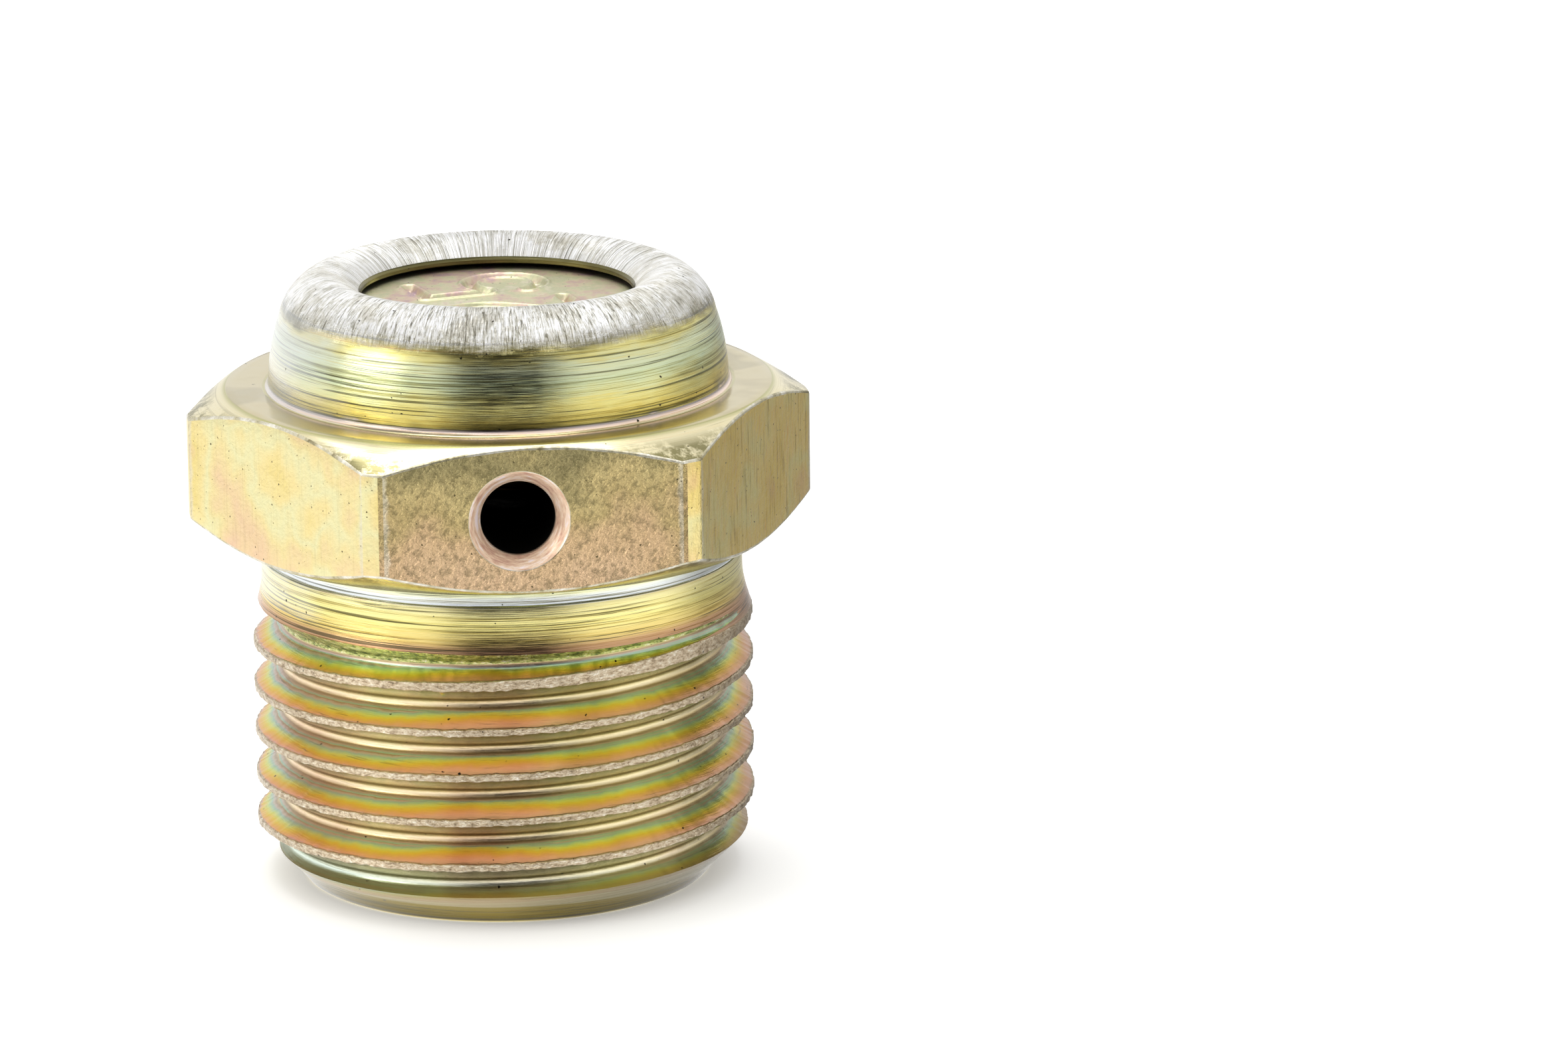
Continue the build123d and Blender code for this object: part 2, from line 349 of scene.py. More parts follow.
def groove_bar(tree, given, reach):
    """A straight bar of the groove's section along Z, a unit to each turn, with a rounded root."""
    flank = tan(radians(30))
    mouth = add(tree, "ShaderNodeMath", [given["Pitch"], given["Crest width"]], operation="SUBTRACT")
    top = add(tree, "ShaderNodeMath", [given["Past"], 2 * flank, mouth], operation="MULTIPLY_ADD")
    bottom = add(tree, "ShaderNodeMath", [given["Depth"], -2 * flank, mouth], operation="MULTIPLY_ADD")
    section = add(tree, "GeometryNodeCurvePrimitiveQuadrilateral", {
        "Height": reach, "Bottom Width": bottom, "Top Width": top, "Offset": 0.0}, mode="TRAPEZOID")
    up = add(tree, "ShaderNodeSeparateXYZ", [add(tree, "GeometryNodeInputPosition")]).outputs[1]
    at_root = add(tree, "ShaderNodeMath", [up, 0.0], operation="LESS_THAN")
    root_r = add(tree, "ShaderNodeMath", [at_root, given["Root radius"]], operation="MULTIPLY")
    rounded = add(tree, "GeometryNodeFilletCurve", {"Curve": section, "Count": 3, "Radius": root_r},
                  mode="POLY")
    turns = add(tree, "ShaderNodeMath", [given["Full turns"], given["Run-out turns"]], operation="ADD")
    path_end = add(tree, "ShaderNodeCombineXYZ", {"Z": turns})
    line = add(tree, "GeometryNodeCurvePrimitiveLine", {"End": path_end})
    steps = add(tree, "ShaderNodeMath", [turns, given["Steps a turn"]], operation="MULTIPLY")
    path = add(tree, "GeometryNodeResampleCurve", {"Curve": line, "Count": steps})
    return add(tree, "GeometryNodeCurveToMesh", {"Curve": path, "Profile Curve": rounded, "Fill Caps": True})


def groove_tree():
    """The groove's bar bent round the axis along the thread's rise, its edges torn, its end climbing out."""
    tree, given = new_tree("thread_groove", {
        "Major radius": THREAD_R, "Depth": THREAD_DEPTH, "Pitch": THREAD_PITCH,
        "Crest width": THREAD_CREST_W, "Start height": THREAD_START_Z, "Full turns": THREAD_FULL_TURNS,
        "Run-out turns": RUNOUT_TURN, "Run-out lean": RUNOUT_LEAN, "Root radius": ROOT_ROUND_R,
        "Past": GROOVE_PAST, "Tear": TEAR, "Steps a turn": GROOVE_STEPS})
    reach = add(tree, "ShaderNodeMath", [given["Depth"], given["Past"]], operation="ADD")
    bar = groove_bar(tree, given, reach)
    across, up, turn = add(tree, "ShaderNodeSeparateXYZ", [add(tree, "GeometryNodeInputPosition")]).outputs

    height = add(tree, "ShaderNodeMath", [reach, 0.5, up], operation="MULTIPLY_ADD")
    past_full = add(tree, "ShaderNodeMath", [turn, given["Full turns"]], operation="SUBTRACT")
    gone = add(tree, "ShaderNodeMath", [past_full, given["Run-out turns"]], operation="DIVIDE")
    gone_or_none = add(tree, "ShaderNodeMath", [gone, 0.0], operation="MAXIMUM")
    climb = add(tree, "ShaderNodeMath", [gone_or_none, reach], operation="MULTIPLY")
    root_r = add(tree, "ShaderNodeMath", [given["Major radius"], given["Depth"]], operation="SUBTRACT")
    climbed_r = add(tree, "ShaderNodeMath", [root_r, climb], operation="ADD")
    radius = add(tree, "ShaderNodeMath", [climbed_r, height], operation="ADD")

    side = add(tree, "ShaderNodeMath", [across], operation="SIGN")
    along = add(tree, "ShaderNodeMath", [turn, TEARS_IN_A_TURN], operation="MULTIPLY")
    apart = add(tree, "ShaderNodeMath", [side, 9.3], operation="MULTIPLY")       # so the two edges differ
    torn_at = add(tree, "ShaderNodeCombineXYZ", {"X": along, "Y": apart})
    torn = add(tree, "ShaderNodeTexNoise", {"Vector": torn_at, "Scale": 1.0, "Detail": 3.0})
    torn_either_way = add(tree, "ShaderNodeMath", [torn, 0.5], operation="SUBTRACT")
    near_mouth = add(tree, "ShaderNodeMath", [up, 0.0], operation="GREATER_THAN")
    most = add(tree, "ShaderNodeMath", [near_mouth, given["Tear"]], operation="MULTIPLY")
    tear = add(tree, "ShaderNodeMath", [torn_either_way, most], operation="MULTIPLY")

    rise = add(tree, "ShaderNodeMath", [turn, given["Pitch"], given["Start height"]],
               operation="MULTIPLY_ADD")
    upper_half = add(tree, "ShaderNodeMath", [across, 0.0], operation="GREATER_THAN")
    upper_edge = add(tree, "ShaderNodeMath", [near_mouth, upper_half], operation="MULTIPLY")
    swing = add(tree, "ShaderNodeMath", [upper_edge, 1.8, -0.8], operation="MULTIPLY_ADD")
    lean_share = add(tree, "ShaderNodeClamp", [
        add(tree, "ShaderNodeMath", [gone, 1.6, 0.3], operation="MULTIPLY_ADD")])
    lean_most = add(tree, "ShaderNodeMath", [lean_share, given["Run-out lean"]], operation="MULTIPLY")
    lean = add(tree, "ShaderNodeMath", [lean_most, swing], operation="MULTIPLY")
    risen = add(tree, "ShaderNodeMath", [rise, across], operation="ADD")
    moved = add(tree, "ShaderNodeMath", [tear, lean], operation="ADD")
    z = add(tree, "ShaderNodeMath", [risen, moved], operation="ADD")

    angle = add(tree, "ShaderNodeMath", [turn, 2 * pi], operation="MULTIPLY")
    sine = add(tree, "ShaderNodeMath", [angle], operation="SINE")
    cosine = add(tree, "ShaderNodeMath", [angle], operation="COSINE")
    x = add(tree, "ShaderNodeMath", [radius, sine], operation="MULTIPLY")
    forward = add(tree, "ShaderNodeMath", [radius, cosine], operation="MULTIPLY")
    y = add(tree, "ShaderNodeMath", [forward, -1.0], operation="MULTIPLY")
    bent = add(tree, "ShaderNodeCombineXYZ", [x, y, z])
    metres = add(tree, "ShaderNodeVectorMath", {0: bent, "Scale": MM}, operation="SCALE")
    helix = add(tree, "GeometryNodeSetPosition", {"Geometry": bar, "Position": metres})
    return finish_tree(tree, helix, {})


def from_tree(name, tree):
    """A plain mesh object made by a geometry nodes tree."""
    made = mesh_object(name, [], [])
    modifier = made.modifiers.new("make", "NODES")
    modifier.node_group = tree
    evaluated = made.evaluated_get(bpy.context.evaluated_depsgraph_get())
    mesh = bpy.data.meshes.new_from_object(evaluated)
    made.modifiers.clear()
    made.data = mesh
    return outward(made)


def vent_cutter():
    """Cutter of the cross hole: countersink with a broken edge, then the bore to the chamber."""
    flat_y = -HEX_AF / 2
    sink_h = VENT_SINK_R - VENT_R
    outline = [(0.0, flat_y - 0.5), (VENT_SINK_R + 0.05, flat_y - 0.5), (VENT_SINK_R + 0.05, flat_y - 0.01),
               (VENT_SINK_R, flat_y + 0.015), (VENT_SINK_R - 0.04, flat_y + 0.05),
               (VENT_R + 0.03, flat_y + sink_h - 0.02), (VENT_R, flat_y + sink_h + 0.05),
               (VENT_R, VENT_INNER_Y), (0.0, VENT_INNER_Y)]
    n = 96
    turns = [2 * pi * i / n for i in range(n)]
    vertices = [(VENT_X * MM, outline[0][1] * MM, VENT_Z * MM)]
    for r, y in outline[1:-1]:
        vertices += [((VENT_X + r * cos(t)) * MM, y * MM, (VENT_Z + r * sin(t)) * MM) for t in turns]
    vertices.append((VENT_X * MM, outline[-1][1] * MM, VENT_Z * MM))
    rings = len(outline) - 2
    faces = [(0, 1 + (i + 1) % n, 1 + i) for i in range(n)]
    for j in range(rings - 1):
        low, high = 1 + j * n, 1 + (j + 1) * n
        faces += [(low + i, low + (i + 1) % n, high + (i + 1) % n, high + i) for i in range(n)]
    last = 1 + (rings - 1) * n
    faces += [(last + i, last + (i + 1) % n, len(vertices) - 1) for i in range(n)]
    return outward(mesh_object("vent_cutter", vertices, faces))


def roughen_crests(piece):
    """Small burrs on the crests and along the run-out."""
    mesh = piece.data
    points = np.empty(len(mesh.vertices) * 3)
    mesh.vertices.foreach_get("co", points)
    points = points.reshape(-1, 3) / MM
    for p in points:
        r = np.hypot(p[0], p[1])
        if 1.2 < p[2] < BURR_UNDER_Z and r > THREAD_R - 0.03:
            push = 0.035 * noise.noise(Vector((p[0] * 2.6, p[1] * 2.6, p[2] * 2.6)))
            push += 0.02 * noise.noise(Vector((p[0] * 7, p[1] * 7, p[2] * 7)))
            p[0] *= 1 + push / r
            p[1] *= 1 + push / r
    mesh.vertices.foreach_set("co", (points * MM).ravel())
    mesh.update()


# ======== the stamped disc ========
def figure_lines():
    """Centre lines of the figures 2 and 5 in the reading direction, in millimetres from the disc's middle."""
    h = FIGURE_H

    def arc(centre, radius, start, end, steps):
        turns = [radians(start + (end - start) * i / steps) for i in range(steps + 1)]
        return [(centre[0] + radius * cos(t), centre[1] + radius * sin(t)) for t in turns]

    two = arc((-0.45 * h, 0.26 * h), 0.27 * h, 165, -40, 16)
    two += [(-0.72 * h, -0.43 * h), (-0.17 * h, -0.46 * h)]
    bowl = arc((0.43 * h, -0.22 * h), 0.27 * h, 130, -160, 20)
    five = [(0.60 * h, 0.49 * h), (0.20 * h, 0.49 * h), (0.20 * h, 0.0)]
    turn = np.array([[cos(FIGURE_TURN), -sin(FIGURE_TURN)], [sin(FIGURE_TURN), cos(FIGURE_TURN)]])
    return [np.array(line) @ turn.T for line in (two, bowl, five)]


def distance_to_lines(points, lines):
    best = np.full(len(points), 1e9)
    for line in lines:
        for a, b in zip(line, line[1:]):
            d = b - a
            share = np.clip(((points - a) @ d) / (d @ d), 0, 1)
            best = np.minimum(best, np.linalg.norm(points - a - share[:, None] * d, axis=1))
    return best


def stamped_disc():
    """The closing disc, its top a fine polar grid pressed down along the figures."""
    n, rings = 440, 108
    radii = np.linspace(0, 1, rings + 1)[1:] * (DISC_R - DISC_BREAK)
    angles = np.arange(n) * 2 * pi / n
    grid = np.array([(r * cos(a), r * sin(a)) for r in radii for a in angles])
    flat = np.vstack([[0.0, 0.0], grid])
    gap = distance_to_lines(flat, figure_lines())
    half = FIGURE_STROKE_W / 2
    inside = np.clip((half + 0.05 - gap) / 0.2, 0, 1)
    floor = inside * inside * (3 - 2 * inside)
    lip = np.exp(-((gap - half - 0.13) / 0.09) ** 2)
    waves = np.array([noise.noise(Vector((x * 0.8, y * 0.8, 3))) for x, y in flat])
    rough = np.array([noise.noise(Vector((x * 6, y * 6, 1))) for x, y in flat])
    top = DISC_TOP_Z - FIGURE_DEPTH * floor * (1 + 0.3 * rough) + FIGURE_LIP_H * lip + 0.014 * waves
    edge = np.linalg.norm(flat, axis=1) > RIM_OPENING_R - 0.3
    top[edge] = np.minimum(top[edge], DISC_TOP_Z)
    vertices = [(x, y, z) for (x, y), z in zip(flat, top)]
    for r, z in ((DISC_R, DISC_TOP_Z - DISC_BREAK), (DISC_R, DISC_UNDER_Z + DISC_BREAK),
                 (DISC_R - DISC_BREAK, DISC_UNDER_Z)):
        vertices += [(r * cos(a), r * sin(a), z) for a in angles]
    vertices.append((0, 0, DISC_UNDER_Z))
    faces = [(0, 1 + i, 1 + (i + 1) % n) for i in range(n)]
    for j in range(rings + 2):
        a, b = 1 + j * n, 1 + (j + 1) * n
        faces += [(a + i, b + i, b + (i + 1) % n, a + (i + 1) % n) for i in range(n)]
    last = 1 + (rings + 2) * n
    faces += [(last + i, len(vertices) - 1, last + (i + 1) % n) for i in range(n)]
    disc = outward(mesh_object("stamped_disc", [(x * MM, y * MM, z * MM) for x, y, z in vertices], faces))
    return smooth_by_angle(disc, 40)


# ======== the spring, by geometry nodes ========
def spring_tree(material):
    """Round wire along a spiral, its ends ground flat by a clamp on height."""
    tree, given = new_tree("wound_spring", {
        "Wire radius": SPRING_WIRE_R * MM, "Mean radius": SPRING_MEAN_R * MM, "Coils": SPRING_COILS,
        "Foot height": SPRING_FOOT_Z * MM, "Head height": DISC_UNDER_Z * MM})
    foot, head = given["Foot height"], given["Head height"]
    length = add(tree, "ShaderNodeMath", [head, foot], operation="SUBTRACT")
    spiral = add(tree, "GeometryNodeCurveSpiral", {
        "Resolution": 56, "Rotations": given["Coils"], "Start Radius": given["Mean radius"],
        "End Radius": given["Mean radius"], "Height": length})
    wire = add(tree, "GeometryNodeCurvePrimitiveCircle", {"Resolution": 20, "Radius": given["Wire radius"]})
    swept = add(tree, "GeometryNodeCurveToMesh", {
        "Curve": spiral, "Profile Curve": wire, "Fill Caps": True})
    raised = add(tree, "ShaderNodeCombineXYZ", {"Z": foot})
    placed = add(tree, "GeometryNodeTransform", {"Geometry": swept, "Translation": raised})
    x, y, z = add(tree, "ShaderNodeSeparateXYZ", [add(tree, "GeometryNodeInputPosition")]).outputs
    ground = add(tree, "ShaderNodeClamp", {"Value": z, "Min": foot, "Max": head})
    clamped = add(tree, "ShaderNodeCombineXYZ", [x, y, ground])
    flat = add(tree, "GeometryNodeSetPosition", {"Geometry": placed, "Position": clamped})
    return finish_tree(tree, flat, {"Material": material})


def wound_spring(material):
    return smooth_by_angle(from_tree("wound_spring", spring_tree(material)), 50)


# ======== materials ========
def axis_sockets(tree):
    """Sockets in millimetres about the valve's axis: place, x, y, z, radius, and the outward direction."""
    metres = add(tree, "ShaderNodeTexCoord").outputs["Object"]
    place = add(tree, "ShaderNodeVectorMath", [metres, (1 / MM,) * 3], operation="MULTIPLY")
    x, y, z = add(tree, "ShaderNodeSeparateXYZ", [place]).outputs
    level = add(tree, "ShaderNodeVectorMath", [place, (1, 1, 0)], operation="MULTIPLY")
    radius = add(tree, "ShaderNodeVectorMath", [level], operation="LENGTH").outputs["Value"]
    outward_way = add(tree, "ShaderNodeVectorMath", [level], operation="NORMALIZE")
    return {"place": place, "x": x, "y": y, "z": z, "radius": radius, "outward": outward_way}


def grain(tree, place, per_mm, detail=3.0, roughness=0.6):
    """Noise about 0.5 with so many grains to the millimetre along x, y and z.

    Tool marks, pits and rolled ridges are finer on real steel; they are drawn as coarse as they need to show.
    """
    moved = add(tree, "ShaderNodeVectorMath", [place, per_mm], operation="MULTIPLY")
    return add(tree, "ShaderNodeTexNoise", {
        "Vector": moved, "Scale": 1.0, "Detail": detail, "Roughness": roughness}).outputs[0]


def drift(tree, place, per_mm, detail=3.0, roughness=0.6):
    """The same noise about 0."""
    return add(tree, "ShaderNodeMath", [grain(tree, place, per_mm, detail, roughness), 0.5],
               operation="SUBTRACT")


def pitted(tree, place, size, cover, under, pit_colour):
    """A colour with small ragged pits: of cells of the size in millimetres, a share has a pit each."""
    jitter = add(tree, "ShaderNodeTexNoise", {"Vector": place, "Scale": 2.5 / size, "Detail": 2.0}).outputs[1]
    shaken = add(tree, "ShaderNodeVectorMath", [jitter, (size * 0.5,) * 3, place], operation="MULTIPLY_ADD")
    cells = add(tree, "ShaderNodeTexVoronoi", {"Vector": shaken, "Scale": 1 / size}, feature="F1").outputs
    chance = add(tree, "ShaderNodeSeparateColor", [cells["Color"]]).outputs
    reach = add(tree, "ShaderNodeMath", [chance[1], 0.13, 0.05], operation="MULTIPLY_ADD")
    spot = add(tree, "ShaderNodeMath", [cells["Distance"], reach], operation="LESS_THAN")
    chosen = add(tree, "ShaderNodeMath", [chance[0], 1 - cover], operation="GREATER_THAN")
    mask = add(tree, "ShaderNodeMath", [spot, chosen], operation="MULTIPLY")
    return add(tree, "ShaderNodeMix", {"Factor": mask, "A": under, "B": pit_colour},
               data_type="RGBA").outputs[2]


def finish(tree, colour, roughness, normal, metallic=1.0):
    shader = add(tree, "ShaderNodeBsdfPrincipled", {
        "Base Color": colour, "Roughness": roughness, "Metallic": metallic, "Normal": normal})
    add(tree, "ShaderNodeOutputMaterial", {"Surface": shader})


# Film colours over one pitch, from a crest's middle up: crest, upper flank, root, lower flank, crest. The
# cream at the root (0.42 to 0.55) is a painted highlight, and the darker olive at either end of the lower
# flank (0.59 and 0.93) is painted shade.
THREAD_FILM_AND_SHADING = [
    (0.000, "#b4a68c"), (0.050, "#d6caae"), (0.066, "#f0e6d2"), (0.078, "#cbaa96"), (0.104, "#deb4a2"),
    (0.142, "#e6b4a0"), (0.185, "#e6b282"), (0.222, "#e4ba62"), (0.258, "#e2c850"), (0.296, "#d4d878"),
    (0.328, "#b6cfa6"), (0.350, "#a6c0b8"), (0.374, "#c4b4ac"), (0.400, "#a8947c"), (0.420, "#c4b08c"),
    (0.450, "#e6d4b4"), (0.490, "#f8e8ca"), (0.520, "#e6d6b0"), (0.550, "#b8a880"), (0.590, "#9c9068"),
    (0.640, "#d0c8a2"), (0.800, "#dcd6b6"), (0.900, "#b8b08c"), (0.932, "#7e7458"), (0.945, "#c8bea2"),
    (1.000, "#b4a68c")]


def thread_film(tree, at, height, waver):
    """Colours of the film over the pitch, with a painted highlight at the root and painted shade on the lower
    flank: steady on crest and root, drifting along the upper flank.
    """
    from_crest = add(tree, "ShaderNodeMath", [height, THREAD_START_Z + THREAD_PITCH / 2],
                     operation="SUBTRACT")
    wavered = add(tree, "ShaderNodeMath", [waver, 0.06, from_crest], operation="MULTIPLY_ADD")
    pitches = add(tree, "ShaderNodeMath", [wavered, THREAD_PITCH], operation="DIVIDE")
    steady = add(tree, "ShaderNodeMath", [pitches], operation="FRACT")
    cloud = drift(tree, at["place"], (0.09, 0.09, 0.05), 2.0)
    thinner = add(tree, "ShaderNodeMapRange", {
        "Value": at["x"], "From Min": -11.0, "From Max": -2.0, "To Min": 0.42, "To Max": 0.0})
    along = add(tree, "ShaderNodeMath", [cloud, thinner], operation="ADD")
    nudged = add(tree, "ShaderNodeMath", [waver, 0.04, steady], operation="MULTIPLY_ADD")
    moved = add(tree, "ShaderNodeMath", [along, 0.26, nudged], operation="MULTIPLY_ADD")
    drifting = add(tree, "ShaderNodeValToRGB", [moved], THREAD_FILM_AND_SHADING)
    fixed = add(tree, "ShaderNodeValToRGB", [steady], THREAD_FILM_AND_SHADING)
    over_crest = add(tree, "ShaderNodeMath", [steady, 0.1], operation="GREATER_THAN")
    under_root = add(tree, "ShaderNodeMath", [steady, 0.34], operation="LESS_THAN")
    on_flank = add(tree, "ShaderNodeMath", [over_crest, under_root], operation="MULTIPLY")
    banded = add(tree, "ShaderNodeMix", {"Factor": on_flank, "A": fixed, "B": drifting},
                 data_type="RGBA").outputs[2]
    tone = add(tree, "ShaderNodeValToRGB", [grain(tree, at["place"], (0.13, 0.13, 0.05))], [
        (0.32, "#e8c4b4"), (0.44, "#fff2e0"), (0.56, "#fdffe2"), (0.70, "#d8d4a6")])
    toned = add(tree, "ShaderNodeMix", {"Factor": 0.6, "A": banded, "B": tone}, data_type="RGBA",
                blend_type="MULTIPLY").outputs[2]
    first_turn = add(tree, "ShaderNodeMapRange", {
        "Value": at["z"], "From Min": PLAIN_FILM_Z[0], "From Max": PLAIN_FILM_Z[1], "To Max": 0.85})
    # Plain olive for the first groove; the pale turquoise from 0.42 to 0.53 is a painted highlight at its
    # root.
    plain = add(tree, "ShaderNodeValToRGB", [steady], [
        (0.0, "#8f8460"), (0.30, "#7f7a50"), (0.42, "#9fae94"), (0.47, "#dcefe4"), (0.53, "#c9dccb"),
        (0.60, "#6f6a48"), (1.0, "#8f8460")])
    return add(tree, "ShaderNodeMix", {"Factor": first_turn, "A": toned, "B": plain},
               data_type="RGBA").outputs[2]


def thread_finish():
    """Yellow chromate on a cut, zinc-plated thread.

    Its film thickens up each flank, so it shows as bands of colour, with a painted highlight at each root;
    the crests are torn, rubbed metal, and the right side is painted darker as shade.
    """
    material, tree = new_material("yellow_chromate_on_cut_thread")
    at = axis_sockets(tree)
    place = at["place"]
    forward = add(tree, "ShaderNodeMath", [at["y"], -1.0], operation="MULTIPLY")
    angle = add(tree, "ShaderNodeMath", [at["x"], forward], operation="ARCTAN2")
    height = add(tree, "ShaderNodeMath", [angle, -THREAD_PITCH / (2 * pi), at["z"]], operation="MULTIPLY_ADD")
    waver = drift(tree, place, (1.4, 1.4, 0.5))
    film = thread_film(tree, at, height, waver)

    on_crest = add(tree, "ShaderNodeMapRange", {
        "Value": at["radius"], "From Min": THREAD_R - 0.10, "From Max": THREAD_R - 0.05})
    burrs = grain(tree, place, (3.2, 3.2, 7.0), 5.0, 0.75)
    crest = add(tree, "ShaderNodeValToRGB", [burrs], [
        (0.33, "#7e6c54"), (0.41, "#ab987c"), (0.50, "#c8b69a"), (0.60, "#d9ccb2"), (0.70, "#f2ebde")])
    crested = add(tree, "ShaderNodeMix", {"Factor": on_crest, "A": film, "B": crest},
                  data_type="RGBA").outputs[2]
    over_threads = add(tree, "ShaderNodeMath", [height, RUNOUT_LINE_Z], operation="GREATER_THAN")
    past_start = add(tree, "ShaderNodeMath", [angle, RUNOUT_LINE_TURN], operation="GREATER_THAN")
    in_runout = add(tree, "ShaderNodeMath", [over_threads, past_start], operation="MULTIPLY")
    chatter = grain(tree, place, (2.0, 2.0, 5.5), 6.0, 0.8)
    runout = add(tree, "ShaderNodeValToRGB", [chatter], [
        (0.34, "#39402a"), (0.43, "#8d9a5e"), (0.52, "#d8dc8e"), (0.60, "#f6f2c4"), (0.66, "#ffffff")])
    faded = add(tree, "ShaderNodeMix", {"Factor": in_runout, "A": crested, "B": runout},
                data_type="RGBA").outputs[2]
    # Painted shade: the thread is multiplied towards brown on its right side, from x 6.8 mm outwards.
    ragged_x = add(tree, "ShaderNodeMath", [waver, 4.0, at["x"]], operation="MULTIPLY_ADD")
    painted_shade_right = add(tree, "ShaderNodeMapRange", {
        "Value": ragged_x, "From Min": 6.8, "From Max": 10.6, "To Max": 0.6})
    shaded_right = add(tree, "ShaderNodeMix", {"Factor": painted_shade_right, "A": faded, "B": "#8f7c4c"}, data_type="RGBA",
                  blend_type="MULTIPLY").outputs[2]
    tool_marks = grain(tree, place, (0.22, 0.22, 11.0), 4.0, 0.75)
    dark = add(tree, "ShaderNodeMapRange", {
        "Value": tool_marks, "From Min": 0.60, "From Max": 0.70, "To Max": 0.6})
    lined = add(tree, "ShaderNodeMix", {"Factor": dark, "A": shaded_right, "B": "#6b5a40"},
                data_type="RGBA").outputs[2]
    colour = pitted(tree, place, 0.34, 0.14, lined, "#2e281e")
    fine = add(tree, "ShaderNodeBump", {"Height": tool_marks, "Strength": 0.5, "Distance": 0.03 * MM})
    torn = add(tree, "ShaderNodeMath", [on_crest, in_runout], operation="MAXIMUM")
    torn_burrs = add(tree, "ShaderNodeMath", [burrs, torn], operation="MULTIPLY")
    coarse = add(tree, "ShaderNodeBump", {
        "Height": torn_burrs, "Strength": 0.8, "Distance": 0.055 * MM, "Normal": fine})
    finish(tree, colour, 0.27, coarse)
    return material


# Colours of the turned steel by height: end cone, shank, neck with its step, hexagon's faces, collar. Several
# bands are painted light and shade, as listed below.
# Painted: 11.6 to 12.6 darkened as a dark reflection on the shank; 14.41 the step's shadow line; 14.48 to
# 14.92 the neck's pale reflection; 15.1 to 15.42 shade under the hexagon; 22.03 to 22.16 shade in the crease
# at the collar's foot.
TURNED_FILM_AND_SHADING = [
    (0.0, "#cbbb82"), (0.03, "#464016"), (0.35, "#6a5c20"), (0.9, "#7e6f2c"), (1.5, "#625c34"),
    (11.6, "#b8987c"), (12.2, "#b89278"), (12.6, "#cca480"), (12.9, "#f0d88c"), (13.6, "#f4ea9e"),
    (14.36, "#f4ecb4"), (14.41, "#4f4a30"), (14.48, "#dde4f0"), (14.75, "#e6ecf2"), (14.92, "#f0f4cc"),
    (15.1, "#b4b070"), (15.36, "#8c8a58"), (15.42, "#a3a264"), (16.3, "#ece4c0"), (21.7, "#f0e6c0"),
    (21.83, "#b6b478"), (21.86, "#fbe8de"), (21.98, "#f8dcd2"), (22.03, "#9c98a0"), (22.16, "#a0965a"),
    (22.6, "#dccc78"), (23.1, "#e2dc98"), (23.9, "#d3e0be"), (24.6, "#d8debc"), (25.1, "#dcd490"),
    (25.5, "#837d54"), (26.85, "#4a4630")]


